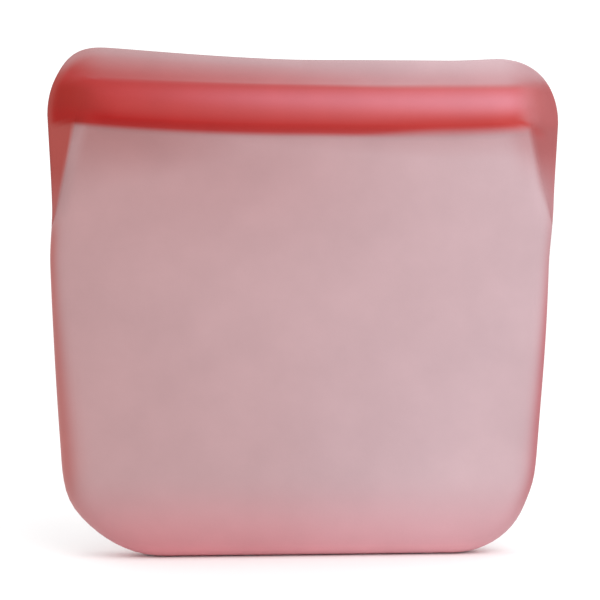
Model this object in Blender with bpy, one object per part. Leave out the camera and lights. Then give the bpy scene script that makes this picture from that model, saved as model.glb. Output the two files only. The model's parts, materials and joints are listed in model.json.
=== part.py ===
"""A reusable silicone food bag with a press-to-close mouth, standing empty and closed on its base.

The bag is as wide as its flat mouth at the top and 25 mm deep at the base. Each wall is its own piece:
two panels and a rolled border make the pouch, and above a flex line each side of the mouth is an upper panel,
a thick rail and a lip. Between rail and side edge, four flat gussets fold outward while the mouth is shut and
swing into the side wall as it opens. Front is -Y, up is +Z, and the origin is the middle of the base.
"""

import math

import bpy
from mathutils import Vector

# Driving dimensions, in metres.
BAG_WIDTH = 0.190
BAG_HEIGHT = 0.1885
WALL = 0.001
GAP = 0.0003  # clearance between two neighbouring pieces

SIDE_TAPER = 0.052  # each side leans out by this much per unit of height
BASE_CORNER_RADIUS = 0.036
TOP_CORNER_RADIUS = 0.024

BASE_HALF_DEPTH = 0.0125
PANEL_TOP_HALF_DEPTH = 0.0034  # of the panels, where they meet the rails
BASE_ROLL = 0.024  # how far in from the base line the panels begin
SIDE_ROLL = 0.007  # the same, from the side edges
FLAT_SHARE = 0.5  # share of the depth that the border keeps flat

FLEX_Z = 0.122  # the line where the mouth flexes away from the pouch
RAIL_LOW_Z = 0.160
RAIL_TOP_Z = 0.1785
RAIL_BULGE = 0.0026
GUSSET_WIDTH = 0.0097  # at the foot of the rails
CREASE_ROLL = 0.0045  # rounding of the panels and rails towards the gussets
GUSSET_TIP = 0.003  # the gussets start this far above the flex line
MOUTH_SAG = 0.0035
LIP_FLARE = 0.0016

CHANNEL_Z = 0.1692  # the middle of the press lock
BEAD_HEIGHT = 0.0032
JAW_HEIGHT = 0.0026
CHANNEL_DEPTH = 0.0025
CHANNEL_END = 0.0075  # the channel stops this far short of the creases
STOP_LENGTH = 0.003

RAIL_END_MARGIN = 0.0055  # from the thinned ends of the rails to the side edges
RAIL_END_THICKNESS = 0.0012

# Derived dimensions.
HALF_WIDTH = BAG_WIDTH / 2
TAPER_ANGLE = math.atan(SIDE_TAPER)
SHOULDER_Z = BAG_HEIGHT - TOP_CORNER_RADIUS
SHOULDER_X = HALF_WIDTH - TOP_CORNER_RADIUS
FOOT_HALF_WIDTH = (
    SHOULDER_X + TOP_CORNER_RADIUS / math.cos(TAPER_ANGLE) - SIDE_TAPER * SHOULDER_Z
)
CORNER_X = (
    FOOT_HALF_WIDTH
    + SIDE_TAPER * BASE_CORNER_RADIUS
    - BASE_CORNER_RADIUS / math.cos(TAPER_ANGLE)
)
INNER_Y = GAP / 2  # inner faces of the closed mouth lie this far from the middle plane
JAW_FAR_Y = INNER_Y + CHANNEL_DEPTH
BEAD_LOW_Z = CHANNEL_Z - BEAD_HEIGHT / 2
BEAD_TOP_Z = CHANNEL_Z + BEAD_HEIGHT / 2

ROWS = 6
LIP_ROWS = 3
COLUMNS = 16
ARC_STEPS = 6
SHARP_ANGLE = math.radians(35)

SILICONE = {
    "wall": (0.62, 0.33, 0.35),
    "rail": (0.55, 0.07, 0.06),
    "gusset": (0.50, 0.16, 0.16),
}


def silicone(kind):
    """The translucent pink silicone, deeper in colour where it is thicker."""
    name = "silicone_" + kind
    material = bpy.data.materials.get(name)
    if material is None:
        material = bpy.data.materials.new(name)
        material.use_nodes = True
        shader = material.node_tree.nodes["Principled BSDF"]
        shader.inputs["Base Color"].default_value = (*SILICONE[kind], 1)
        shader.inputs["Roughness"].default_value = 0.45
        shader.inputs["Metallic"].default_value = 0.0
    return material


def solid(name, vertices, faces, kind):
    """One named object from a closed mesh, turned right side out."""
    mesh = bpy.data.meshes.new(name)
    mesh.from_pydata([Vector(v) for v in vertices], [], faces)
    mesh.validate()
    mesh.materials.append(silicone(kind))
    volume = sum(
        mesh.vertices[f.vertices[0]].co.dot(f.normal) * f.area for f in mesh.polygons
    )
    if volume < 0:
        mesh.flip_normals()
    mesh.shade_smooth()
    mesh.set_sharp_from_angle(angle=SHARP_ANGLE)
    piece = bpy.data.objects.new(name, mesh)
    bpy.context.scene.collection.objects.link(piece)
    return piece


def shell(name, outer, inner, kind):
    """A wall between two grids of points: row by row, both the same size, with its rim closed."""
    rows, columns = len(outer), len(outer[0])
    vertices = [p for row in outer for p in row] + [p for row in inner for p in row]
    back = rows * columns

    def at(row, column, side):
        return row * columns + column + side * back

    faces = []
    for r in range(rows - 1):
        for c in range(columns - 1):
            faces.append([at(r, c, 0), at(r, c + 1, 0), at(r + 1, c + 1, 0), at(r + 1, c, 0)])
            faces.append([at(r, c, 1), at(r + 1, c, 1), at(r + 1, c + 1, 1), at(r, c + 1, 1)])
    for r in range(rows - 1):
        for c, turned in ((0, False), (columns - 1, True)):
            rim = [at(r, c, 0), at(r + 1, c, 0), at(r + 1, c, 1), at(r, c, 1)]
            faces.append(rim[::-1] if turned else rim)
    for c in range(columns - 1):
        for r, turned in ((0, True), (rows - 1, False)):
            rim = [at(r, c, 0), at(r, c + 1, 0), at(r, c + 1, 1), at(r, c, 1)]
            faces.append(rim[::-1] if turned else rim)
    return solid(name, vertices, faces, kind)


def plate(name, outline, outer_y, inner_y, kind):
    """A flat wall: an outline of (x, z) points between two planes given by their y at each height."""
    count = len(outline)
    vertices = [(x, outer_y(z), z) for x, z in outline] + [(x, inner_y(z), z) for x, z in outline]
    faces = [list(range(count)), list(range(2 * count - 1, count - 1, -1))]
    for i in range(count):
        j = (i + 1) % count
        faces.append([i, i + count, j + count, j])
    return solid(name, vertices, faces, kind)


def spread(low, high, steps):
    return [low + (high - low) * i / steps for i in range(steps + 1)]


def smoothstep(t):
    t = min(max(t, 0.0), 1.0)
    return t * t * (3 - 2 * t)


def quarter_round(t):
    """Height of a quarter circle, from 0 at its edge to 1 one radius in and beyond."""
    t = min(max(t, 0.0), 1.0)
    return math.sqrt(1 - (1 - t) ** 2)


# The outline of the bag, seen from the front.


def half_width(z):
    """Half the width between the straight sides at height z."""
    return FOOT_HALF_WIDTH + SIDE_TAPER * z


APEX_X = half_width(FLEX_Z)  # the creases leave the side edges here
CREASE_SLOPE = (APEX_X - half_width(RAIL_LOW_Z) + GUSSET_WIDTH) / (RAIL_LOW_Z - FLEX_Z)


def crease_x(z):
    """Where the crease between the panel or rail and the gusset lies at height z."""
    return APEX_X - CREASE_SLOPE * (z - FLEX_Z)


def rim_z(x):
    """Height of the lips' top edge, rounded at the corners, before the mouth sags."""
    past = max(abs(x) - SHOULDER_X, 0.0)
    return SHOULDER_Z + math.sqrt(TOP_CORNER_RADIUS**2 - past**2)


def half_depth(z):
    """Outer half depth of the panels at height z: a straight wedge from base to rail."""
    share = (z - BASE_ROLL) / (RAIL_LOW_Z - BASE_ROLL)
    return BASE_HALF_DEPTH + share * (PANEL_TOP_HALF_DEPTH - BASE_HALF_DEPTH)


def border_station(x, z, angle):
    """A place on the outline with its inward direction, and how wide the rolled border is there."""
    turn = min((angle + math.pi / 2) / (math.pi / 2 - TAPER_ANGLE), 1.0)
    roll = SIDE_ROLL + (BASE_ROLL - SIDE_ROLL) * math.cos(turn * math.pi / 2)
    return Vector((x, 0, z)), Vector((-math.cos(angle), 0, -math.sin(angle))), roll


def base_stations(left, right, steps):
    return [border_station(x, 0.0, -math.pi / 2) for x in spread(left, right, steps)]


def corner_stations(low, high, steps):
    """Along the right base corner, between two angles of its arc."""
    radius = BASE_CORNER_RADIUS
    return [
        border_station(CORNER_X + radius * math.cos(a), radius + radius * math.sin(a), a)
        for a in spread(low, high, steps)
    ]


CORNER_TOP_Z = BASE_CORNER_RADIUS * (1 - math.sin(TAPER_ANGLE))
SEAM_ANGLE = GAP / 2 / BASE_CORNER_RADIUS


def side_stations(low, high, steps):
    """Along the straight right side, ending with a level one at the flex line."""
    stations = []
    for z in spread(low, high, steps):
        angle = -TAPER_ANGLE * (FLEX_Z - z) / (FLEX_Z - CORNER_TOP_Z)
        stations.append(border_station(half_width(z), z, angle))
    return stations


# The pouch.


def border_section(station):
    """Outer and inner points across the rolled border, from the front panel round to the back one."""
    place, inward, roll = station
    depth = half_depth((place + roll * inward).z)
    flat = FLAT_SHARE * depth
    inner_flat = FLAT_SHARE * (depth - WALL)
    outer, inner = [], []
    for side in (-1, 1):
        arc = spread(0, math.pi / 2, ARC_STEPS)
        for a in arc[::-1] if side < 0 else arc:
            rise = 1 - math.cos(a)
            y = side * (flat + (depth - flat) * math.sin(a))
            outer.append(place + roll * rise * inward + Vector((0, y, 0)))
            y = side * (inner_flat + (depth - WALL - inner_flat) * math.sin(a))
            inner.append(place + (WALL + (roll - WALL) * rise) * inward + Vector((0, y, 0)))
    return outer, inner


def mirrored(point, side):
    return Vector((side * point[0], point[1], point[2]))


def border(name, stations, side=1):
    """One stretch of the rolled border, on the right or, with side -1, on the left."""
    sections = [border_section(s) for s in stations]
    outer = [[mirrored(p, side) for p in section[0]] for section in sections]
    inner = [[mirrored(p, side) for p in section[1]] for section in sections]
    return shell(name, outer, inner, "wall")


def pouch_border():
    end = CORNER_X - GAP / 2
    border("base_wall", base_stations(-end, end, 6))
    for name, side in (("left", -1), ("right", 1)):
        low, high = -math.pi / 2 + SEAM_ANGLE, -TAPER_ANGLE - SEAM_ANGLE
        border(name + "_base_corner", corner_stations(low, high, 9), side)
        low, high = CORNER_TOP_Z + GAP / 2, FLEX_Z - GAP / 2
        border(name + "_side_wall", side_stations(low, high, 5), side)


def panel_outline():
    """The lower panels' edge: inside the rolled border, up to the flex line."""
    stations = corner_stations(-math.pi / 2, -TAPER_ANGLE, 9)
    stations += side_stations(CORNER_TOP_Z, FLEX_Z, 3)[1:]
    right = [place + (roll + GAP) * inward for place, inward, roll in stations]
    top = FLEX_Z - GAP / 2
    points = [(p.x, min(p.z, top)) for p in right[:-1]] + [(right[-1].x, top)]
    return points + [(-x, z) for x, z in points[::-1]]


def lower_panel(name, side):
    """A flat tilted panel between the border and the flex line."""
    plate(
        name,
        panel_outline(),
        lambda z: side * half_depth(z),
        lambda z: side * (half_depth(z) - WALL),
        "wall",
    )


# The mouth, above the flex line. Its pieces are grids of rows going up and columns going right.


def across():
    """Shares of the half width from -1 to 1, closer together towards the creases."""
    return [math.sin(math.pi / 2 * t) for t in spread(-1, 1, COLUMNS)]


def sagged(share, z, x, y):
    """A point of the mouth, let down towards the middle as far as its height allows."""
    loose = smoothstep((z - FLEX_Z) / (RAIL_LOW_Z - FLEX_Z))
    return Vector((x, y, z - MOUTH_SAG * loose * (1 - share**2)))


def crease_round(x, z, full, start=WALL + GAP / 2, inset=0.0):
    """Depth at a point of a wall that rounds down from full to start at the crease."""
    return start + (full - start) * quarter_round((crease_x(z) - abs(x) - inset) / CREASE_ROLL)


def rail_depth(z):
    """Outer half depth of the rails at height z: a bulge that runs out into panel and lip."""
    v = (z - RAIL_LOW_Z) / (RAIL_TOP_Z - RAIL_LOW_Z)
    foot = PANEL_TOP_HALF_DEPTH + v * (WALL + INNER_Y - PANEL_TOP_HALF_DEPTH)
    return foot + RAIL_BULGE * (1 - abs(2 * v - 1) ** 3)


def mouth_grid(low, high, depth):
    """Points between the creases from height low to high; depth gives y from (x, z)."""
    grid = []
    for z in spread(low, high, ROWS):
        edge = crease_x(z) - GAP / 2
        grid.append([sagged(u, z, u * edge, depth(u * edge, z)) for u in across()])
    return grid


def upper_panel(name, side):
    """From the flex line to the rail, rolled in along both creases."""
    low, high = FLEX_Z + GAP / 2, RAIL_LOW_Z - GAP / 2
    outer = mouth_grid(low, high, lambda x, z: side * crease_round(x, z, half_depth(z)))
    inner = mouth_grid(
        low,
        high,
        lambda x, z: side * crease_round(x, z, half_depth(z) - WALL, INNER_Y, WALL),
    )
    return shell(name, outer, inner, "wall")


def rail(name, side):
    low, high = RAIL_LOW_Z + GAP / 2, RAIL_TOP_Z - GAP / 2
    outer = mouth_grid(low, high, lambda x, z: side * crease_round(x, z, rail_depth(z)))
    inner = mouth_grid(low, high, lambda x, z: side * INNER_Y)
    return shell(name, outer, inner, "rail")


def lip(name, side):
    """The thin edge above the rail, opened a little towards the middle to get a finger in."""
    low = RAIL_TOP_Z + GAP / 2
    corner = rim_z(crease_x(BAG_HEIGHT))
    outer, inner = [], []
    for v in spread(0, 1, LIP_ROWS):
        edge = crease_x(low + v * (corner - low)) - GAP / 2
        for grid, thickness in ((outer, WALL), (inner, 0.0)):
            row = []
            for u in across():
                z = low + v * (rim_z(u * edge) - low)
                y = INNER_Y + LIP_FLARE * v * (1 - u**2) + thickness
                row.append(sagged(u, z, u * edge, side * y))
            grid.append(row)
    return shell(name, outer, inner, "wall")


def bar(name, low, high, left, right, far, near=INNER_Y):
    """A straight bar along the sagging mouth, between two heights, two ends and two depths."""
    steps = COLUMNS if right - left > HALF_WIDTH else 1
    grids = []
    for y in (far, near):
        grids.append([])
        for z in (low, high):
            ends = spread(left, right, steps)
            grids[-1].append([sagged(x / crease_x(z), z, x, y) for x in ends])
    return shell(name, grids[0], grids[1], "rail")


def press_lock(back_rail):
    """The bead of the front rail, and what the back rail holds it with: two jaws and two stops."""
    end = crease_x(RAIL_TOP_Z) - CHANNEL_END
    bead_end = end - STOP_LENGTH
    foot, head = BEAD_LOW_Z - GAP - JAW_HEIGHT, BEAD_TOP_Z + GAP + JAW_HEIGHT
    bead = bar("locking_bead", BEAD_LOW_Z, BEAD_TOP_Z, -bead_end, bead_end, JAW_FAR_Y - GAP)
    channel = [
        bar("lower_channel_jaw", foot, BEAD_LOW_Z - GAP, -end, end, JAW_FAR_Y),
        bar("upper_channel_jaw", BEAD_TOP_Z + GAP, head, -end, end, JAW_FAR_Y),
        bar("left_channel_stop", BEAD_LOW_Z, BEAD_TOP_Z, -end, -bead_end - GAP, JAW_FAR_Y),
        bar("right_channel_stop", BEAD_LOW_Z, BEAD_TOP_Z, bead_end + GAP, end, JAW_FAR_Y),
    ]

    reach = end + GAP
    pocket = bar("pocket", foot - GAP, head + GAP, -reach, reach, JAW_FAR_Y + GAP, -INNER_Y)
    pocket.hide_render = True
    pocket.display_type = "WIRE"
    cut = back_rail.modifiers.new("pocket", "BOOLEAN")
    cut.operation = "DIFFERENCE"
    cut.solver = "EXACT"
    cut.object = pocket
    return bead, channel + [pocket]


# The gussets, flat between the creases and the side edges.


def side_edge(low, high, margin=0.0):
    """Points up the right side edge and round the top corner, between two heights."""
    points = [(half_width(low) - margin, low)]
    if high <= SHOULDER_Z:
        return points + [(half_width(high) - margin, high)]
    radius = TOP_CORNER_RADIUS - margin
    highest = math.asin(min((high - SHOULDER_Z) / radius, 1.0))
    for angle in spread(-TAPER_ANGLE, highest, 9):
        points.append((SHOULDER_X + radius * math.cos(angle), SHOULDER_Z + radius * math.sin(angle)))
    return points


def gusset_outline():
    """The right gusset: up the side, round the top corner and back down the crease."""
    tip = FLEX_Z + GUSSET_TIP
    points = [p for p in side_edge(tip, BAG_HEIGHT) if p[0] > crease_x(p[1]) + GAP]
    top = rim_z(crease_x(BAG_HEIGHT) + GAP / 2)
    return points + [(crease_x(z) + GAP / 2, z) for z in (top, tip)]


def rail_end_outline():
    """The thinned end of a rail, which runs on over the gusset."""
    points = side_edge(RAIL_LOW_Z, RAIL_TOP_Z, RAIL_END_MARGIN)
    return points + [(crease_x(z) + GAP / 2, z) for z in (RAIL_TOP_Z, RAIL_LOW_Z)]


def gusset(side, x_side, y_side):
    """One gusset, with the end of the rail on its outer face."""
    near, far = y_side * INNER_Y, y_side * (INNER_Y + WALL)
    foot, face = far + y_side * GAP, far + y_side * (GAP + RAIL_END_THICKNESS)
    flat = [(x_side * x, z) for x, z in gusset_outline()]
    end = [(x_side * x, z) for x, z in rail_end_outline()]
    return [
        plate(side + "_gusset", flat, lambda z: far, lambda z: near, "gusset"),
        plate(side + "_rail_end", end, lambda z: face, lambda z: foot, "rail"),
    ]


def hinge(name, place, parent=None):
    """An empty on a line about which the silicone bends."""
    axis = bpy.data.objects.new(name, None)
    bpy.context.scene.collection.objects.link(axis)
    if parent:
        hang(parent, [axis])
    axis.location = place
    bpy.context.view_layer.update()
    return axis


def hang(axis, pieces):
    """Makes pieces turn with an axis, without moving them."""
    for piece in pieces:
        piece.parent = axis
        piece.matrix_parent_inverse = axis.matrix_world.inverted()


def build():
    for old in list(bpy.data.objects):
        bpy.data.objects.remove(old)
    pouch_border()
    mouths, rails = [], []
    for name, side in (("front", -1), ("back", 1)):
        lower_panel(name + "_panel", side)
        mouths.append(hinge(name + "_mouth_flex", (0, side * half_depth(FLEX_Z), FLEX_Z)))
        rails.append(rail(name + "_rail", side))
        walls = [upper_panel(name + "_upper_panel", side), lip(name + "_lip", side)]
        hang(mouths[-1], walls + rails[-1:])
        for end, x_side in (("left", -1), ("right", 1)):
            place = (x_side * APEX_X, side * INNER_Y, FLEX_Z)
            crease = hinge(f"{name}_{end}_crease", place, mouths[-1])
            hang(crease, gusset(f"{name}_{end}", x_side, side))
    bead, channel = press_lock(rails[1])
    hang(mouths[0], [bead])
    hang(mouths[1], channel)


build()
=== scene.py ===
"""The looks of a reusable silicone food bag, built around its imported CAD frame.

The bag is moulded in one soft piece, so it is lofted here as continuous skins. The front skin runs from the
base over the panel and the rail to the lip, the back skin does the same behind it, and four ears carry on
from them, past the creases, to the folded side edges. Every skin is a closed wall with its own thickness.
Front is -Y and up is +Z, in metres, as in the frame.
"""

import json
import math
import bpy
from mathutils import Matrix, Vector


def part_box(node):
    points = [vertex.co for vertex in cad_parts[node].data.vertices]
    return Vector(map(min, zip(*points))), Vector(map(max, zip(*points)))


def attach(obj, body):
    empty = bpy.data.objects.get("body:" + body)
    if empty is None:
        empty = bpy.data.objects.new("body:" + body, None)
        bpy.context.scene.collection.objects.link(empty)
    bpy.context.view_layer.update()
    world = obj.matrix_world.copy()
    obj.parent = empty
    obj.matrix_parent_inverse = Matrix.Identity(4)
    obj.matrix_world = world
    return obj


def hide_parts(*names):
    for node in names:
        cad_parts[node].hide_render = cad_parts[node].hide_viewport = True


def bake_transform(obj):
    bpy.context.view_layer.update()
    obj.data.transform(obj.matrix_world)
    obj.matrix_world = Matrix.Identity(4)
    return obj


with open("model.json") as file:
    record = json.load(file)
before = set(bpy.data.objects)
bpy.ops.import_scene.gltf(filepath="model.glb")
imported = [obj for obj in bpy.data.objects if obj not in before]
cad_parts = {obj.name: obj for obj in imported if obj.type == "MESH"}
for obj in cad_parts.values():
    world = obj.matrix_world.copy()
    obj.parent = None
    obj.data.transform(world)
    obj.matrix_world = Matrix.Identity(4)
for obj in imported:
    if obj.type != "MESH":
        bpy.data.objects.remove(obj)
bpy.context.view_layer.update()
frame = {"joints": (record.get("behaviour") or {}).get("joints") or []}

from types import SimpleNamespace

import bpy
import numpy as np
from mathutils import Vector

MM = 0.001

# Sizes read from the frame.
JOINTS = {joint["name"]: joint for joint in frame["joints"]}
APEX_X, _, FLEX_Z = JOINTS["front_right_crease"]["pos_m"]
CREASE_AXIS = JOINTS["front_right_crease"]["axis"]
CREASE_SLOPE = -CREASE_AXIS[0] / CREASE_AXIS[2]
GUSSET_LOW, GUSSET_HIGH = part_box("front_right_gusset")
WALL_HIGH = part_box("right_side_wall")[1]
CORNER_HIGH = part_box("right_base_corner")[1]
RAIL_LOW_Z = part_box("front_right_rail_end")[0][2]
RAIL_TOP_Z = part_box("front_right_rail_end")[1][2]
TAPER = (WALL_HIGH[0] - CORNER_HIGH[0]) / (WALL_HIGH[2] - CORNER_HIGH[2])
LEAN = math.atan(TAPER)  # of the straight sides
WALL = GUSSET_HIGH[1] - GUSSET_LOW[1]
INNER_Y = -GUSSET_HIGH[1]
TOP_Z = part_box("front_lip")[1][2]
BASE_HALF_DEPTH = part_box("base_wall")[1][1]
STOP_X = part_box("right_channel_stop")[0][0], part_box("right_channel_stop")[1][0]
CHANNEL_Z = RAIL_LOW_Z + 9.2 * MM  # the middle of the press lock

# The shape of the soft skins.
TOP_RADIUS = 23.6 * MM
BASE_RADIUS = {-1: 38 * MM, 1: 31 * MM}  # of the left and the right corner of the outline
BASE_ROLL = 24 * MM  # how far up the panels round in to the base
SIDE_ROLL = 7.5 * MM  # how far in they round from the side edges
PANEL_TOP_HALF_DEPTH = 3.4 * MM
RAIL_SWELL = 3.0 * MM
BELLY = 1.5 * MM  # the panels bulge by this much in the middle
DENT = 1.2 * MM  # and the front one has a dent this deep, high on the left
DENT_PLACE = -48 * MM, 147 * MM  # in x and z
DENT_SIZE = 30 * MM, 10 * MM
SLACK = 0.35 * MM  # long, shallow waves in both panels
LIP_FLARE = 1.1 * MM
CREASE_ROLL = 5.5 * MM
EAR_ROLL = 1.1 * MM
FOOT = APEX_X - TAPER * FLEX_Z  # half width where the straight sides would meet the floor
SHOULDER_Z = TOP_Z - TOP_RADIUS
SHOULDER_X = GUSSET_HIGH[0] - TOP_RADIUS
RAIL_SAG = 3.9 * MM  # of the foot of the rails, in the middle of the mouth
RIGHT_SAG = 2.4 * MM  # more of the same towards the right end
TOP_SAG = 3.2 * MM
LIP_SAG = 4.6 * MM
LIP_RISE = 4.2 * MM  # the left corner of the lips stands up by this much over the middle
LEFT_LIFT = 1.6 * MM  # the two top corners turn up by this much more
RIGHT_LIFT = 0.4 * MM
BACK_RISE = 0.5 * MM  # the back lip is a little taller
POUCH_SHIFT = 1.25 * MM  # the pouch sits this far left of the mouth
BASE_SHIFT = 0.4 * MM  # and its base this much further
CORNER_SHIFT = 1.2 * MM  # with its two lower corners leaning left by this much more
BOW = 1.1 * MM  # the sides swell by this much half way up
BLEND_WIDTH = 14 * MM  # the rails ease into the ears over this much
SEAM = 0.02 * MM  # half the gap between the two skins where they meet


def smooth(low, high, value):
    """0 below low, 1 above high, and a soft step between."""
    t = np.clip((value - low) / (high - low), 0, 1)
    return t * t * (3 - 2 * t)


def bell(centre, width, value):
    """1 at the centre, falling off smoothly to both sides."""
    return np.exp(-(((value - centre) / width) ** 2))


def half_width(z):
    """Half width of the bag between its straight sides."""
    return FOOT + TAPER * z


def crease_x(z):
    """Where the right crease is."""
    return APEX_X - CREASE_SLOPE * (z - FLEX_Z)


def rim_z(x):
    """Height of the top edge, which rounds off at both shoulders."""
    past = np.maximum(np.abs(x) - SHOULDER_X, 0)
    return SHOULDER_Z + np.sqrt(TOP_RADIUS**2 - np.minimum(past, TOP_RADIUS) ** 2)


def rail_share(z):
    """0 at the foot of the rails and 1 at their top."""
    return (z - RAIL_LOW_Z) / (RAIL_TOP_Z - RAIL_LOW_Z)


def rail_swell(z):
    """How far the rails stand out: steep below, easing off upwards, with a shallow dip above the middle."""
    v = rail_share(z)
    body = smooth(-0.08, 0.24, v) * (1 - smooth(0.42, 1.02, v))
    return RAIL_SWELL * body + RAIL_SWELL / 12 * bell(0.86, 0.09, v)


def flush(z):
    """0 where the panels fold over the ears, 1 where rails and lips run on into them."""
    return smooth(RAIL_LOW_Z - 1 * MM, RAIL_LOW_Z + 6 * MM, z)


def panel_depth(x, z, side):
    """Half depth of the panels, rails and lips, with the slack of a soft wall in it."""
    bend = 15 * MM
    ramp = z - BASE_ROLL
    ramp = (ramp + np.sqrt(ramp**2 + bend**2)) / 2
    wedge = BASE_HALF_DEPTH - (BASE_HALF_DEPTH - PANEL_TOP_HALF_DEPTH) * ramp / (RAIL_LOW_Z - BASE_ROLL)
    lip = INNER_Y + WALL
    depth = wedge + (lip - wedge) * smooth(0.0, 1.0, rail_share(z)) + rail_swell(z)
    middle = np.clip(1 - (x / half_width(z)) ** 2, 0, 1)
    belly = smooth(0, 60 * MM, z) * (1 - smooth(95 * MM, RAIL_LOW_Z, z))
    depth = depth + BELLY * middle * belly
    dent = bell(DENT_PLACE[0], DENT_SIZE[0], x) * bell(DENT_PLACE[1], DENT_SIZE[1], z)
    slack = np.sin(38 * x + 21 * z + side) * np.sin(17 * x - 44 * z + 2 * side)
    below = 1 - smooth(RAIL_LOW_Z - 18 * MM, RAIL_LOW_Z, z)
    depth = depth - DENT * dent * (side < 0) + SLACK * slack * below
    return depth + lip_flare(x, z)


def lip_flare(x, z):
    """How far the lips lean out of the middle plane."""
    return LIP_FLARE * smooth(RAIL_TOP_Z, TOP_Z, z) * np.clip(1 - (x / crease_x(z)) ** 2, 0, 1)


def crease_curl(x, z):
    """0 at the creases and 1 further in: a quick roll below the rails, a long ease at and above them."""
    inside = np.maximum(crease_x(z) - np.abs(x), 0)
    quick = np.sin(np.clip(inside / CREASE_ROLL, 0, 1) * math.pi / 2)
    return (1 - flush(z)) * quick + flush(z) * smooth(0, BLEND_WIDTH, inside)


def ear_depth(x, z):
    """Outer half depth of the flat ears, with the ends of the rails fading out over them."""
    margin = outline_distance(np.maximum(np.abs(x), crease_x(z)), z)
    return INNER_Y + WALL + 0.4 * rail_swell(z) * smooth(1.5 * MM, 8 * MM, margin)


def corner_centre_x(radius):
    """Where a base corner of this radius has its centre, so that it runs on into the leaning side."""
    return FOOT + TAPER * radius - radius / math.cos(LEAN)


def corner_top(radius):
    """The height where a base corner of this radius ends and the straight side begins."""
    return radius * (1 - math.sin(LEAN))


def outline_distance(x, z):
    """How far a point lies inside the outline of the bag's right half."""
    radius = BASE_RADIUS[1]
    side = (half_width(z) - x) * math.cos(LEAN)
    corner = TOP_RADIUS - np.hypot(x - SHOULDER_X, z - SHOULDER_Z)
    top = SHOULDER_Z + TOP_RADIUS - z
    foot = radius - np.hypot(np.maximum(x - corner_centre_x(radius), 0), z - radius)
    upper = np.where(z < SHOULDER_Z, side, np.where(x > SHOULDER_X, corner, top))
    return np.where(z < corner_top(radius), np.minimum(foot, side), upper)


def warped(points, rise=0.0):
    """Lets the drawn shape sag and lean as the soft bag does; rise lifts the middle of the lips."""
    x, y, z = points.T
    share = np.clip(x / crease_x(RAIL_LOW_Z), -1, 1)
    left = np.clip(-x / SHOULDER_X, 0, 1.3) ** 1.5
    corner = smooth(1.0, 1.25, -x / SHOULDER_X) * LEFT_LIFT
    corner = corner + smooth(1.05, 1.25, x / SHOULDER_X) * RIGHT_LIFT
    foot = -0.4 * MM - RAIL_SAG * (1 - share**2) - RIGHT_SAG * smooth(-0.05, 1.0, share)
    top = -TOP_SAG + 1.6 * MM * left + 0.3 * MM * np.clip(share, 0, 1) ** 2 + corner
    lip = -LIP_SAG + LIP_RISE * left + 1.4 * MM * smooth(0.62, 1.0, share) + corner
    lip = lip + rise * (1 - share**4)
    move = foot + (top - foot) * smooth(RAIL_LOW_Z, RAIL_TOP_Z, z)
    move = move + (lip - top) * smooth(RAIL_TOP_Z - 3 * MM, TOP_Z, z)
    shift = POUCH_SHIFT * (1 - smooth(FLEX_Z - 14 * MM, FLEX_Z + 8 * MM, z))
    shift = shift + BASE_SHIFT * (1 - smooth(40 * MM, 90 * MM, z))
    shift = shift + CORNER_SHIFT * bell(20 * MM, 9 * MM, z)
    below = 1 - smooth(FLEX_Z - 10 * MM, FLEX_Z + 24 * MM, z)
    bow = BOW * x / FOOT * bell(82 * MM, 48 * MM, z) * below
    return np.stack([x - shift + bow, y, z + move * smooth(FLEX_Z, RAIL_LOW_Z, z)], axis=1)


# Mesh making.


def grid_quads(index):
    """The faces of a grid of vertex numbers."""
    a, b = index[:-1, :-1], index[:-1, 1:]
    c, d = index[1:, 1:], index[1:, :-1]
    return np.stack([a, b, c, d], axis=-1).reshape(-1, 4)


def surface_normals(points, quads):
    """Smooth normals of an open surface."""
    corners = points[quads]
    face = np.cross(corners[:, 2] - corners[:, 0], corners[:, 3] - corners[:, 1])
    normal = np.zeros_like(points)
    for corner in range(4):
        np.add.at(normal, quads[:, corner], face)
    return normal / np.maximum(np.linalg.norm(normal, axis=1), 1e-12)[:, None]


def rim_edges(quads):
    """The directed edges that only one face has."""
    edges = np.concatenate([quads[:, [i, (i + 1) % 4]] for i in range(4)])
    edges = edges[edges[:, 0] != edges[:, 1]]
    keys = {tuple(edge) for edge in edges.tolist()}
    return [edge for edge in edges.tolist() if (edge[1], edge[0]) not in keys]


RIM_STEPS = 3  # rows of points around the rim, between the two faces


def rim_pushes(outer, inner, edges, ring):
    """The way out over the rim, at each of its vertices."""
    out = {v: np.zeros(3) for v in ring}
    for a, b in edges:
        along = outer[b] - outer[a]
        across = np.cross(along, outer[a] - inner[a])
        across /= max(np.linalg.norm(across), 1e-12)
        out[a] = out[a] + across
        out[b] = out[b] + across
    return {v: out[v] / max(np.linalg.norm(out[v]), 1e-12) for v in ring}


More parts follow.
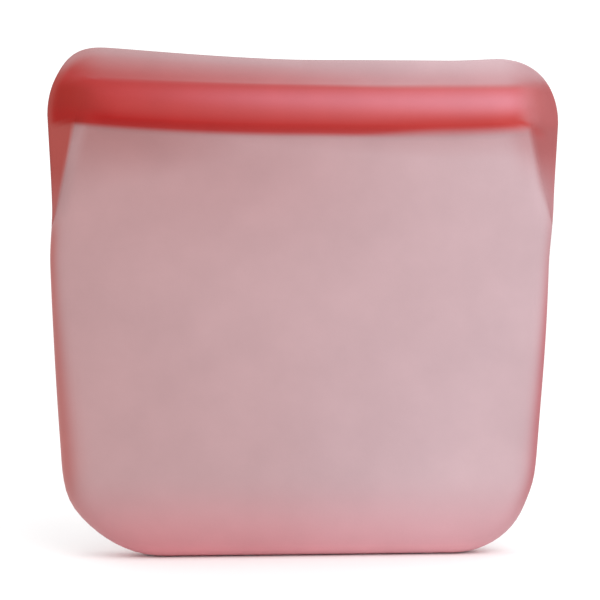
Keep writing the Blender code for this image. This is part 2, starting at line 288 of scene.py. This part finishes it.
def closed_wall(name, outer, inner, quads, rounded, tones, inside):
    """A wall with an outer and an inner face, whose rim is rounded where the silicone really ends."""
    count = len(outer)
    faces = quads.tolist() + (quads[:, ::-1] + count).tolist()
    edges = rim_edges(quads)
    ring = sorted({v for edge in edges for v in edge})
    pushes = rim_pushes(outer, inner, edges, ring)
    rows = {v: [v] for v in ring}
    extra = []
    for v in ring:
        half = np.linalg.norm(outer[v] - inner[v]) / 2
        for k in range(1, RIM_STEPS + 1):
            angle = math.pi * k / (RIM_STEPS + 1)
            middle = (outer[v] + inner[v]) / 2
            point = middle + (outer[v] - inner[v]) / 2 * math.cos(angle)
            point = point + pushes[v] * half * math.sin(angle) * rounded[v]
            rows[v].append(2 * count + len(extra))
            extra.append(point)
        rows[v].append(v + count)
    for a, b in edges:
        for k in range(RIM_STEPS + 1):
            faces.append([rows[b][k], rows[a][k], rows[a][k + 1], rows[b][k + 1]])
    owner = list(range(count)) * 2 + [v for v in ring for _ in range(RIM_STEPS)]
    tones = {tone: np.asarray(values)[owner] for tone, values in tones.items()}
    # Painted light on the inner faces below the rails, for the light that comes through the thin walls.
    tones["inside"] = np.concatenate([np.zeros(count), inside, np.zeros(len(extra))])
    return mesh_object(name, np.concatenate([outer, inner, np.array(extra)]), faces, tones)


def mesh_object(name, vertices, faces, tones):
    """An object from points and faces, with its tones as attributes, smooth except at real edges."""
    mesh = bpy.data.meshes.new(name)
    faces = [list(dict.fromkeys(face)) for face in faces]
    mesh.from_pydata(vertices.tolist(), [], [face for face in faces if len(face) > 2])
    mesh.validate()
    corners = np.array([v.co for v in mesh.vertices])
    volume = sum(
        float(np.dot(corners[f.vertices[0]], np.array(f.normal))) * f.area for f in mesh.polygons
    )
    if volume < 0:
        mesh.flip_normals()
    for tone, values in tones.items():
        mesh.attributes.new(tone, "FLOAT", "POINT").data.foreach_set("value", values.astype(np.float32))
    mesh.shade_smooth()
    mesh.set_sharp_from_angle(angle=math.radians(50))
    piece = bpy.data.objects.new(name, mesh)
    bpy.context.scene.collection.objects.link(piece)
    return piece


# How deep the colour is, by place: the silicone is redder where it is thick or folded, and at its edges.
# Some tones are painted light and shade instead: a painted light gradient towards the lamp at the right,
# painted light on the right lips, the lower right panels, the bottom and the inner faces, a painted
# highlight along the rails, and painted shade below the rails, beside the right crease and at the foot of
# the rails.
# Every tone is a share from 0 to 1, apart from light, which passes 1 low at the right and is held at 1 when
# it is mixed. Places along the width are shares of half the width at the foot, from -1 at the left, and
# places over the rails are shares of their height.


def places(x, z):
    """Where points of a skin lie before it sags, in the terms that the tones are given in."""
    at = SimpleNamespace(x=x, z=z)
    at.across = x / FOOT
    at.right = smooth(-0.2, 0.2, at.across)
    at.far_right = smooth(0.2, 0.6, at.across)
    at.low = 1 - smooth(30 * MM, 110 * MM, z)
    # Painted light: brighter towards the lamp at the right, and more so low down.
    at.light = np.clip((at.across + 1) / 2, 0, 1) * (1 + 0.3 * at.low * at.right)
    at.up = rail_share(z)
    at.margin = np.maximum(outline_distance(np.abs(x), z), 0)
    at.past = np.abs(x) - crease_x(z)  # beyond the crease
    return at


def fold_and_shade_tone(at, is_ear):
    """The folded ears, two layers deep and with painted shade at the creases, softer at the right, fading
    out at the point of the fold and in the lips.
    """
    soft = (1.6 + 3.4 * at.right) * MM * smooth(FLEX_Z - 2 * MM, FLEX_Z + 18 * MM, at.z) + 0.1 * MM
    start = -0.8 + 0.4 * (1 - at.right)
    hem = smooth(start, start + 1.1, at.past / soft)
    hem = hem * np.maximum(is_ear, smooth(FLEX_Z, FLEX_Z + 4 * MM, at.z))
    upper = smooth(FLEX_Z + 14 * MM, RAIL_LOW_Z - 4 * MM, at.z)
    # Painted shade on the panel beside the right crease, below the rails.
    hem = np.maximum(hem, 0.32 * at.right * upper * smooth(-12 * MM, -3 * MM, at.past))
    point = 1 - smooth(FLEX_Z + 4 * MM, FLEX_Z + (24 + 10 * at.right) * MM, at.z)
    hem = hem * (1 - (0.30 + 0.35 * at.right) * point)
    folded = hem * (1 - flush(at.z)) + smooth(-7.5 * MM, 5.5 * MM, at.past) * flush(at.z)
    return folded * (1 - 0.75 * smooth(0.8, 1.25, at.up))


def foot_and_shade_tone(at):
    """The dark foot of the rails, thick silicone with painted shade where the rails turn under, which turns
    down at the right end.
    """
    turned = 0.22 * at.right * smooth(-5 * MM, 5 * MM, at.past)
    foot = bell(0.19 + 0.04 * at.far_right - turned, 0.16, at.up)
    return foot * (0.5 + 0.5 * smooth(-0.96, -0.86, at.across))


def painted_highlight_tone(at):
    """The painted highlight along the upper part of the rails, fading out towards both ends."""
    painted_highlight = bell(0.74 - 0.10 * at.light, 0.16 + 0.05 * at.light, at.up)
    return painted_highlight * (0.2 + 0.8 * smooth(-0.9, -0.1, at.across)) * (1 - smooth(0.86, 1.02, at.across))


def band_tone(at, foot):
    """The thick rails, with a tail that fades out up the lips and a hook down over the right crease."""
    tail = 0.85 - 0.59 * at.light - 0.12 * bell(0.7, 0.15, at.light)
    tail = tail * (1 - smooth(0.95, 1.65 - 0.12 * at.right, at.up))
    head = 0.06 * smooth(-0.98, -0.85, at.across) * (1 - smooth(-0.1, 0.5, at.across))
    head = head - 0.08 * (1 - smooth(-1.02, -0.93, at.across))
    body = 1 - smooth(0.88, 1.04 + 0.06 * at.far_right, at.up - head)
    ends = np.where(at.x < 0, smooth(0, 3 * MM, at.margin), 1 - smooth(0.90, 1.04, at.across))
    ends = np.maximum(ends, foot * at.right * (1 - smooth(0.93, 1.05, at.across)))
    band = smooth(-0.04, 0.09 + 0.11 * at.far_right, at.up) * np.maximum(body, tail) * (0.15 + 0.85 * ends)
    hook = smooth(-4 * MM, 1 * MM, at.past) * (1 - smooth(0, 7 * MM, at.past))
    return np.maximum(band, 0.5 * foot * at.right * hook)


def edge_tone(at):
    """The side edges, up to the rails, wider and stronger in the lower part."""
    rim = (2.6 + (3.2 - 1.3 * at.right) * at.low) * MM
    above = 1 - smooth(RAIL_LOW_Z - (45 + 40 * at.right) * MM, FLEX_Z + 8 * MM, at.z)
    edge = bell(0, 1, at.margin / rim) * (0.35 + 0.65 * above) * (at.up < 1)
    return edge * smooth(4 * MM, 30 * MM, at.z)


def shade_tone(at):
    """Painted shade in the hollows below the rails, deepest at the left."""
    drop = at.z - RAIL_LOW_Z
    left = bell(0, 20 * MM, drop) * (1 - smooth(-70 * MM, 20 * MM, at.x)) * smooth(0, 6.5 * MM, -at.past)
    wide = 0.45 * bell(-12 * MM, 34 * MM, drop) * bell(-30 * MM, 60 * MM, at.x)
    under = 0.5 * (1 - smooth(0, 12 * MM, -drop))
    return np.maximum(np.maximum(left, wide), under) * (at.up < 0.5)


def painted_light_tone(at):
    """Painted light on the right end of the lips and the lower right of the panels, which are paler."""
    lips = 0.5 * at.far_right * smooth(1.0, 1.5, at.up) * (1 - smooth(0.88, 1.0, at.across))
    return lips + 0.45 * bell(0.72, 0.28, at.across) * bell(30 * MM, 18 * MM, at.z)


def skin_tones(x, z, is_ear):
    """Shares of each tone at places of a skin."""
    at = places(x, z)
    foot = foot_and_shade_tone(at)
    return {
        "pale": painted_light_tone(at),
        "band": band_tone(at, foot),
        "foot": foot,
        "crest": bell(0.95, 0.06, at.up),
        "painted_highlight": painted_highlight_tone(at),
        "tip": (1 - smooth(-0.98, -0.83, at.across)) * (1 - smooth(0.65, 1.0, at.up)),
        "edge": edge_tone(at),
        # Pinker low down on the base roll, and lighter there as painted light against the shade of the
        # roll.
        "base": 1 - smooth(-2 * MM, 33 * MM, z),
        # Painted light: a lighter strip along the very bottom, against the shade where the bag meets the
        # floor.
        "painted_light_sole": 1 - smooth(0, 7 * MM, z),
        "shade": shade_tone(at),
        "fold": fold_and_shade_tone(at, is_ear),
        "light": at.light,
    }


# The two main skins.

STRIP = 10  # columns across a rolled edge
COLUMNS = 64  # columns between the two rolled edges
CORNER_ROWS, PANEL_ROWS, UPPER_ROWS, RAIL_ROWS, LIP_ROWS = 16, 26, 22, 26, 12
PHI = np.linspace(0, math.pi / 2, STRIP + 1)  # from the outline, at 0, inwards over a rolled edge
CORNER_ROUNDNESS = 2.9, 2.2  # powers of the roll, at the foot of a base corner and at its top


def stations(side):
    """Places along one side, base to lip: outer and inner point, roundness and share of the crease."""
    radius = BASE_RADIUS[side]
    centre = corner_centre_x(radius)
    lowest, usual = CORNER_ROUNDNESS
    rows = []
    for t in np.linspace(0, 1, CORNER_ROWS):
        angle = -math.pi / 2 + t * (math.pi / 2 - LEAN)
        c, s = math.cos(angle), math.sin(angle)
        outer = (centre + radius * c, radius + radius * s)
        inner = (centre + (radius - SIDE_ROLL) * c, radius + (radius - BASE_ROLL) * s)
        rows.append((outer, inner, lowest - (lowest - usual) * t, 0.0))
    heights = list(np.linspace(corner_top(radius), FLEX_Z, PANEL_ROWS)[1:])
    heights += list(np.linspace(FLEX_Z, RAIL_LOW_Z - 1.5 * MM, UPPER_ROWS)[1:])
    heights += rail_heights() + list(np.linspace(RAIL_TOP_Z + 1 * MM, TOP_Z, LIP_ROWS)[1:])
    for z in heights:
        share = float(smooth(FLEX_Z, FLEX_Z + 6 * MM, z))
        edge = min(half_width(z), crease_x(z))
        rows.append(((edge, z), (edge - SIDE_ROLL, z), usual, share))
    return rows


POCKET_HALF_HEIGHT = 4.8 * MM
POCKET_DEPTH = 2.8 * MM
POCKET_WALL = 0.9 * MM  # at least this much of the rail is left outside the pocket


def channel_heights():
    """The foot and the head of the pocket in the back rail, which holds the jaws."""
    return CHANNEL_Z - POCKET_HALF_HEIGHT, CHANNEL_Z + POCKET_HALF_HEIGHT


def rail_heights():
    """Rows over the rails, with close pairs at the pocket's two steps."""
    heights = set(np.linspace(RAIL_LOW_Z - 1 * MM, RAIL_TOP_Z + 1 * MM, RAIL_ROWS).tolist())
    for z in channel_heights():
        heights = {h for h in heights if abs(h - z) > 0.3 * MM} | {z - 0.05 * MM, z + 0.05 * MM}
    return sorted(heights)


def roll(power):
    """Shares of the way inwards, and of the way up to full depth, across one rolled edge."""
    inwards = 1 - np.cos(PHI) ** (2 / power)
    inwards[-1] = 1
    return inwards, np.sin(PHI) ** (2 / power)


def strip(outer, inner, inwards):
    """Places across one rolled edge, from the outline inwards."""
    start, end = np.array(outer), np.array(inner)
    return start[None] + (end - start)[None] * inwards[:, None]


def grid_row(left, right):
    """Places across the bag between two stations, and how far each has risen to full depth."""
    (left_out, left_in, power, _), (right_out, right_in, _, _) = left, right
    inwards, risen = roll(power)
    left_strip = strip((-left_out[0], left_out[1]), (-left_in[0], left_in[1]), inwards)
    right_strip = strip(right_out, right_in, inwards)
    start, end = left_strip[-1], right_strip[-1]
    shares = np.linspace(0, 1, COLUMNS + 1)
    middle = start[None] + (end - start)[None] * shares[1:-1, None]
    place = np.concatenate([left_strip, middle, right_strip[::-1]])
    return place, np.concatenate([risen, np.ones(COLUMNS - 1), risen[::-1]])


def skin_grid():
    """The flat grid of a skin: points, how far each has risen to full depth, crease shares, faces."""
    points, curl, creased = [], [], []

    def add(place, risen, crease):
        first = len(points)
        points.extend(place.tolist())
        curl.extend(np.asarray(risen).tolist())
        creased.extend([crease] * len(place))
        return list(range(first, len(points)))

    main = []
    for left, right in zip(stations(-1), stations(1)):
        place, risen = grid_row(left, right)
        main.append(add(place, risen, left[3]))
    main = np.array(main)

    # The roll along the foot, from the panel down and in to the middle of the base.
    base = [main[0, STRIP : STRIP + COLUMNS + 1].tolist()]
    lowest_row = np.array(points)[base[0]]
    power = CORNER_ROUNDNESS[0]
    for k in range(STRIP - 1, -1, -1):
        up, risen = 1 - math.cos(PHI[k]) ** (2 / power), math.sin(PHI[k]) ** (2 / power)
        place = np.array([(x, BASE_ROLL * up) for x in lowest_row[1:-1, 0]])
        ends = int(main[0, k]), int(main[0, main.shape[1] - 1 - k])
        base.append([ends[0], *add(place, [risen] * len(place), 0.0), ends[1]])
    quads = np.concatenate([grid_quads(main), grid_quads(np.array(base[::-1]))])
    return np.array(points), np.array(curl), np.array(creased), quads


def edge_normals(normal, on_edge, creased, side):
    """Normals straight out of the outline at the side edges, turning to face outwards where creased."""
    turn = creased[on_edge]
    flat_out = normal[on_edge]
    flat_out[:, 1] = 0
    flat_out /= np.maximum(np.linalg.norm(flat_out, axis=1), 1e-9)[:, None]
    normal[on_edge] = flat_out * np.sqrt(1 - turn**2)[:, None]
    normal[on_edge, 1] = side * turn
    return normal


def solid_rails(inner, x, z, depth, creased, side):
    """Brings the inner face to the middle plane behind rails and lips, save for the back rail's pocket."""
    closed = INNER_Y + lip_flare(x, z)
    if side > 0:
        foot, head = channel_heights()
        pocket = (z > foot) & (z < head) & (np.abs(x) < STOP_X[1] + 0.3 * MM)
        pocket_floor = np.minimum(INNER_Y + POCKET_DEPTH, depth - POCKET_WALL)
        closed = np.where(pocket, pocket_floor, closed)
    face = np.stack([x, side * closed, z], axis=1)
    solid = smooth(RAIL_LOW_Z - 1 * MM, RAIL_LOW_Z + 1.5 * MM, z)
    return inner + (face - inner) * (solid * creased)[:, None]


def half_bag(name, side):
    """One half of the bag, from the middle plane of the base to the lip."""
    flat, curl, creased, quads = skin_grid()
    x, z = flat[:, 0], flat[:, 1].copy()
    z = z - smooth(RAIL_TOP_Z, TOP_Z, z) * (TOP_Z - rim_z(x))
    on_edge = curl < 1e-6
    curl = curl + (crease_curl(x, z) - curl) * creased
    edge_y = ear_depth(x, z) * creased
    depth = edge_y + (panel_depth(x, z, side) - edge_y) * curl
    outer = np.stack([x, side * depth, z], axis=1)

    normal = surface_normals(outer, quads)
    if np.mean(normal[:, 1]) * side < 0:
        quads = quads[:, ::-1]
        normal = -normal
    inner = outer - edge_normals(normal, on_edge, creased, side) * WALL
    limit = INNER_Y * np.clip(creased + (curl > 0.3), 0, 1)
    inner[:, 1] = side * np.maximum(side * inner[:, 1], limit)
    inner = solid_rails(inner, x, z, depth, creased, side)
    outer[on_edge, 1] += side * SEAM * (1 - creased[on_edge])
    inner[on_edge, 1] = np.where(creased[on_edge] > 0, inner[on_edge, 1], side * SEAM)

    rounded = ((z > RAIL_TOP_Z) & (np.abs(z - rim_z(x)) < 0.01 * MM)).astype(float)
    rise = BACK_RISE * (side > 0)
    tones = skin_tones(x, z, 0.0)
    # Painted light on the inner face below the rails, for the light that comes through the thin walls.
    inside = 1 - smooth(RAIL_LOW_Z - 3 * MM, RAIL_LOW_Z, z)
    return closed_wall(name, warped(outer, rise), warped(inner, rise), quads, rounded, tones, inside)


# The ears.

EAR_COLUMNS = 0, 0.1, 0.22, 0.35, 0.48, 0.6, 0.7, 0.79, 0.86, 0.91, 0.95, 0.98, 1.0  # crease to side edge
EAR_ROWS = [*np.linspace(0, 0.9, 40), 0.93, 0.955, 0.975, 0.99, 1.0]  # foot to top, closer at the rim
EAR_TURN = math.radians(48)  # the side edge of an ear's grid ends this far round the top corner


def shoulder_point(angle):
    """A place on the round top corner."""
    return SHOULDER_X + TOP_RADIUS * np.cos(angle), SHOULDER_Z + TOP_RADIUS * np.sin(angle)


def ear_side(foot):
    """The ear's outer edge: up the straight side, then round the top corner."""
    straight = SHOULDER_Z - foot
    length = straight + TOP_RADIUS * EAR_TURN
    side = []
    for v in EAR_ROWS:
        run = v * length
        if run <= straight:
            side.append((half_width(foot + run), foot + run))
        else:
            side.append(shoulder_point((run - straight) / TOP_RADIUS))
    return np.array(side)


def ear_patch():
    """Places over the right ear, as a patch between the crease, the side edge and the top."""
    columns, rows = np.array(EAR_COLUMNS), np.array(EAR_ROWS)
    foot = FLEX_Z + 0.3 * MM
    heights = foot + (TOP_Z - foot) * rows
    tuck = 0.8 * MM  # the ear starts this far behind the crease
    crease = np.array([(crease_x(z) - tuck * min(1, v * 8), z) for v, z in zip(rows, heights)])
    crease[:, 1] = np.minimum(crease[:, 1], rim_z(crease[:, 0]))
    side = ear_side(foot)
    start = crease[-1]
    begin = math.atan2(start[1] - SHOULDER_Z, start[0] - SHOULDER_X)
    upper = np.stack(shoulder_point(begin + (EAR_TURN - begin) * columns), axis=1)
    lower = crease[0][None] + (side[0] - crease[0])[None] * columns[:, None]
    u, v = columns[None, :, None], rows[:, None, None]
    patch = (1 - u) * crease[:, None] + u * side[:, None] + (1 - v) * lower[None] + v * upper[None]
    corners = (1 - u) * (1 - v) * crease[0] + u * (1 - v) * side[0]
    corners = corners + (1 - u) * v * crease[-1] + u * v * side[-1]
    return patch - corners


def ear(name, x_side, y_side):
    """One ear: a flat fold that rounds in to the middle plane along its outer edge."""
    patch = ear_patch()
    quads = grid_quads(np.arange(patch.shape[0] * patch.shape[1]).reshape(patch.shape[:2]))
    x, z = patch[..., 0].ravel(), patch[..., 1].ravel()
    margin = np.maximum(outline_distance(x, z), 0)
    curl = np.sqrt(np.clip(1 - (1 - np.clip(margin / EAR_ROLL, 0, 1)) ** 2, 0, 1))
    hem = smooth(SHOULDER_Z + 1 * MM, TOP_Z - 4 * MM, z)  # the open top edge, as thick as the lips
    curl = curl + (1 - curl) * hem
    step = 0.006 * MM  # the ear lies just under the skin that it tucks behind
    thinnest = 0.15  # share of the thickness that is left at the side edge
    depth = INNER_Y + (ear_depth(x, z) - step - INNER_Y) * (thinnest + (1 - thinnest) * curl)
    outer = np.stack([x_side * x, y_side * depth, z], axis=1)
    inner = np.stack([x_side * x, np.full(len(x), y_side * INNER_Y * 1.1), z], axis=1)
    if x_side * y_side > 0:
        quads = quads[:, ::-1]
    tones = skin_tones(x_side * x, z, 1.0)
    rise = BACK_RISE * (y_side > 0)
    outer, inner = warped(outer, rise), warped(inner, rise)
    rounded = hem * (margin < 0.01 * MM)
    return closed_wall(name, outer, inner, quads, rounded, tones, np.zeros(len(x)))


# The press lock.


def bar(name, section, left, right):
    """A bar of one cross-section of (y, z) points that follows the sagging mouth."""
    columns = max(2, int((right - left) / (4 * MM)))
    xs = np.linspace(left, right, columns + 1)
    count = len(section)
    points = np.array([(x, y, z) for x in xs for y, z in section])
    faces = [list(range(count)), list(range(len(points) - 1, len(points) - count - 1, -1))]
    for c in range(columns):
        for k in range(count):
            a, b = c * count + k, c * count + (k + 1) % count
            faces.append([a, b, b + count, a + count])
    tones = skin_tones(points[:, 0], points[:, 2], 0.0)
    return mesh_object(name, warped(points), faces, tones)


def arc(y, z, radius, start, end, steps=5):
    """Points on an arc around (y, z), from one angle in degrees to another."""
    angles = np.radians(np.linspace(start, end, steps + 1))
    return [(y + radius * math.cos(a), z + radius * math.sin(a)) for a in angles]


def bead_section():
    """A neck out of the front rail and a rounded head."""
    neck, head = 0.9 * MM, 1.45 * MM  # half heights
    root, throat, shoulder, tip = -0.3 * MM, 1.0 * MM, 1.4 * MM, 2.3 * MM
    heel, corner = 0.35 * MM, 0.7 * MM  # radii at the back and at the front of the head
    z = CHANNEL_Z
    points = [(root, z - neck), (throat, z - neck)]
    points += arc(shoulder, z - head + heel, heel, 180, 270)
    points += arc(tip - corner, z - head + corner, corner, 270, 360)
    points += arc(tip - corner, z + head - corner, corner, 0, 90)
    points += arc(shoulder, z + head - heel, heel, 90, 180)
    return points + [(throat, z + neck), (root, z + neck)]


JAW_FACE_Y = 0.18 * MM  # where the jaws and stops face the middle plane


def jaw_section(way):
    """A jaw above, way 1, or below, way -1, with a lip that the bead snaps past."""
    near, far = JAW_FACE_Y, 2.6 * MM
    back, face, lip = 4.4 * MM, 1.85 * MM, 1.2 * MM  # heights away from the middle of the channel
    round_back, round_lip = 0.3 * MM, 0.45 * MM
    slope, step = 1.1 * MM, 1.1 * MM
    points = [(near + round_back, back), (far - slope, back), (far, face), (step, face)]
    points += arc(near + round_lip, lip + round_lip, round_lip, 0, -180)
    points += arc(near + round_back, back - round_back, round_back, 180, 90, 3)[:-1]
    return [(y, CHANNEL_Z + way * z) for y, z in points]


def stop_section():
    """A block that closes the end of the channel."""
    far, half_height = 2.2 * MM, 1.5 * MM
    low, high = CHANNEL_Z - half_height, CHANNEL_Z + half_height
    return [(JAW_FACE_Y, low), (far, low), (far, high), (JAW_FACE_Y, high)]


# Materials.

# Left and right colour of each tone: the right side is paler, as painted light from the lamp at the right,
# save for its edge.
COLOURS = {
    "wall": ((0.37, 0.22, 0.225), (0.433, 0.30, 0.322)),
    # Painted light on the right end of the lips and the lower right panels.
    "pale": ((0.42, 0.27, 0.28), (0.53, 0.37, 0.395)),
    # Pinker at the base, and lighter as painted light against the shade of its roll.
    "base": ((0.515, 0.168, 0.185), (0.575, 0.268, 0.30)),
    # Painted light along the very bottom, against the shade where the bag meets the floor.
    "painted_light_sole": ((0.70, 0.24, 0.27), (0.78, 0.36, 0.40)),
    "shade": ((0.27, 0.115, 0.113), (0.35, 0.18, 0.19)),
    "edge": ((0.36, 0.085, 0.075), (0.34, 0.045, 0.058)),
    # Two folded layers, with painted shade at the creases.
    "fold": ((0.285, 0.050, 0.042), (0.305, 0.083, 0.085)),
    "band": ((0.31, 0.018, 0.015), (0.46, 0.085, 0.092)),
    # Painted highlight along the upper part of the rails.
    "painted_highlight": ((0.37, 0.036, 0.041), (0.51, 0.165, 0.20)),
    "crest": ((0.32, 0.022, 0.022), (0.42, 0.10, 0.105)),
    "tip": ((0.245, 0.011, 0.007), (0.42, 0.10, 0.105)),
    # Painted light on the inner faces, for the light that comes through the thin walls.
    "inside": ((0.80, 0.52, 0.53), (0.82, 0.58, 0.60)),
    # Thick silicone at the foot of the rails, with painted shade where they turn under.
    "foot": ((0.28, 0.002, 0.001), (0.375, 0.030, 0.027)),
}
# The most of each tone that covers the ones before it.
LAYERS = (
    ("pale", 1.0),
    ("base", 0.8),
    ("painted_light_sole", 0.6),
    ("shade", 0.8),
    ("edge", 0.9),
    ("fold", 1.0),
    ("inside", 1.0),
)


def attribute(tree, name):
    """The share of a tone at each place."""
    node = tree.nodes.new("ShaderNodeAttribute")
    node.attribute_name = name
    return node.outputs["Fac"]


def mixed(tree, share, under, over):
    """A mix of two colours by a share that may be a socket or a number."""
    node = tree.nodes.new("ShaderNodeMix")
    node.data_type = "RGBA"
    for socket, value in (("Factor", share), ("A", under), ("B", over)):
        place = [s for s in node.inputs if s.name == socket and s.enabled][0]
        if isinstance(value, bpy.types.NodeSocket):
            tree.links.new(value, place)
        else:
            place.default_value = value if isinstance(value, float) else (*value, 1)
    return [s for s in node.outputs if s.enabled][0]


def scaled(tree, value, factor):
    """A share times a factor, within 0 to 1."""
    node = tree.nodes.new("ShaderNodeMath")
    node.operation = "MULTIPLY"
    node.use_clamp = True
    tree.links.new(value, node.inputs[0])
    node.inputs[1].default_value = factor
    return node.outputs[0]


def noise(tree, scale, detail):
    """Soft random blotches that stay with the piece."""
    coordinates = tree.nodes.new("ShaderNodeTexCoord")
    node = tree.nodes.new("ShaderNodeTexNoise")
    node.inputs["Scale"].default_value = scale
    node.inputs["Detail"].default_value = detail
    tree.links.new(coordinates.outputs["Object"], node.inputs["Vector"])
    return node.outputs["Fac"]


def cloudiness(tree):
    """Faint random blotches, lighter and darker, about 1 in the middle."""
    spread = 0.16
    node = tree.nodes.new("ShaderNodeMath")
    node.operation = "MULTIPLY_ADD"
    tree.links.new(noise(tree, scale=60.0, detail=4.0), node.inputs[0])
    node.inputs[1].default_value = spread
    node.inputs[2].default_value = 1 - spread / 2
    return node.outputs[0]


def toned_colour(tree):
    """The wall colour with each tone laid over it by its share at the place."""
    # Each tone runs from its left to its right colour by the painted light gradient.
    light = attribute(tree, "light")
    tone = {name: mixed(tree, light, left, right) for name, (left, right) in COLOURS.items()}
    colour = tone["wall"]
    for name, share in LAYERS:
        colour = mixed(tree, scaled(tree, attribute(tree, name), share), colour, tone[name])
    band = tone["band"]
    for name in ("painted_highlight", "crest", "tip", "foot"):
        band = mixed(tree, attribute(tree, name), band, tone[name])
    return mixed(tree, attribute(tree, "band"), colour, band)


def fine_bump(tree):
    """The matt surface of frosted silicone."""
    bump = tree.nodes.new("ShaderNodeBump")
    bump.inputs["Strength"].default_value = 0.12
    bump.inputs["Distance"].default_value = 0.0002
    tree.links.new(noise(tree, scale=900.0, detail=4.0), bump.inputs["Height"])
    return bump.outputs["Normal"]


def silicone():
    """Frosted silicone, deeper in colour where the tones say that it is thick."""
    material = bpy.data.materials.new("frosted_silicone")
    material.use_nodes = True
    tree = material.node_tree
    shader = tree.nodes["Principled BSDF"]
    tint = tree.nodes.new("ShaderNodeHueSaturation")
    tree.links.new(toned_colour(tree), tint.inputs["Color"])
    tree.links.new(cloudiness(tree), tint.inputs["Value"])
    tree.links.new(tint.outputs["Color"], shader.inputs["Base Color"])
    shader.inputs["Roughness"].default_value = 0.48
    shader.inputs["IOR"].default_value = 1.41
    shader.inputs["Specular IOR Level"].default_value = 0.25
    tree.links.new(fine_bump(tree), shader.inputs["Normal"])
    return material


# Floor, light and camera.


def stage_material():
    """Pale, matt and very slightly blotched."""
    material = bpy.data.materials.new("pale_floor")
    material.use_nodes = True
    tree = material.node_tree
    shader = tree.nodes["Principled BSDF"]
    tone = mixed(tree, noise(tree, scale=3.0, detail=2.0), (0.90, 0.90, 0.90), (0.93, 0.93, 0.93))
    tree.links.new(tone, shader.inputs["Base Color"])
    shader.inputs["Roughness"].default_value = 0.8
    return material


def floor():
    """A large plane just under the bag."""
    mesh = bpy.data.meshes.new("floor")
    reach = 40.0
    corners = [(-reach, -reach, 0), (reach, -reach, 0), (reach, reach, 0), (-reach, reach, 0)]
    mesh.from_pydata(corners, [], [(0, 1, 2, 3)])
    mesh.materials.append(stage_material())
    plane = bpy.data.objects.new("floor", mesh)
    plane.location.z = -0.05 * MM
    bpy.context.scene.collection.objects.link(plane)


def lamp(name, place, target, size, power):
    """A round soft lamp."""
    light = bpy.data.lights.new(name, "AREA")
    light.shape = "DISK"
    light.size = size
    light.energy = power
    lamp_object = bpy.data.objects.new(name, light)
    lamp_object.location = place
    lamp_object.rotation_euler = (Vector(target) - Vector(place)).to_track_quat("-Z", "Y").to_euler()
    bpy.context.scene.collection.objects.link(lamp_object)


def studio():
    """An even white surround and one large lamp at the upper right."""
    world = bpy.data.worlds.new("studio")
    bpy.context.scene.world = world
    world.use_nodes = True
    background = world.node_tree.nodes["Background"]
    background.inputs["Color"].default_value = (1, 1, 1, 1)
    background.inputs["Strength"].default_value = 1.175
    middle = (0, 0, TOP_Z / 2)
    lamp("key", (0.40, -0.65, 0.70), middle, size=0.9, power=4.0)
    bpy.context.scene.view_settings.view_transform = "Standard"


def camera():
    """A long lens in front, a little above the middle of the bag."""
    frame_width = 0.2235  # the width that fills the picture, at the bag
    target = Vector((-1.8 * MM, 0, 95.0 * MM))
    elevation = math.radians(2.5)
    turn = math.radians(3.8)  # seen slightly from the left
    data = bpy.data.cameras.new("camera")
    data.lens = 120
    distance = frame_width * data.lens / data.sensor_width
    eye = bpy.data.objects.new("camera", data)
    level = Vector((-math.sin(turn), -math.cos(turn), 0)) * math.cos(elevation)
    eye.location = target + distance * (level + Vector((0, 0, math.sin(elevation))))
    eye.rotation_euler = (target - eye.location).to_track_quat("-Z", "Y").to_euler()
    bpy.context.scene.collection.objects.link(eye)
    bpy.context.scene.camera = eye


# The pieces, with the CAD nodes that each replaces and, for the press lock, the body that it rides on.

POUCH = ("base_wall", "left_base_corner", "right_base_corner", "left_side_wall", "right_side_wall")


def skin(end, side, material):
    """The front or the back half of the bag."""
    piece = half_bag(end + "_skin", side)
    piece.data.materials.append(material)
    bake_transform(piece)
    nodes = [end + part for part in ("_panel", "_upper_panel", "_rail", "_lip")]
    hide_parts(*nodes, *POUCH)


def fold(end, hand, x_side, side, material):
    """An ear."""
    name = f"{end}_{hand}"
    piece = ear(name + "_fold", x_side, side)
    piece.data.materials.append(material)
    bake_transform(piece)
    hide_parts(name + "_gusset", name + "_rail_end")


def lock_part(name, node, section, ends, body, material):
    """A bar of the press lock, in place of one CAD node."""
    piece = bar(name + "_lofted", section, *ends)
    piece.data.materials.append(material)
    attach(piece, body)
    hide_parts(node)


def bag():
    """All pieces of the bag."""
    material = silicone()
    for end, side in (("front", -1), ("back", 1)):
        skin(end, side, material)
        for hand, x_side in (("left", -1), ("right", 1)):
            fold(end, hand, x_side, side, material)
    start, end = STOP_X
    clearance = 0.3 * MM
    reach = start - clearance
    lock_part("locking_bead", "locking_bead", bead_section(), (-reach, reach), "front_mouth", material)
    for name, way in (("lower", -1), ("upper", 1)):
        node = name + "_channel_jaw"
        lock_part(name + "_jaw", node, jaw_section(way), (-end, end), "back_mouth", material)
    for name, ends in (("left", (-end, -start)), ("right", (start, end))):
        node = name + "_channel_stop"
        lock_part(name + "_stop", node, stop_section(), ends, "back_mouth", material)


bag()
floor()
studio()
camera()
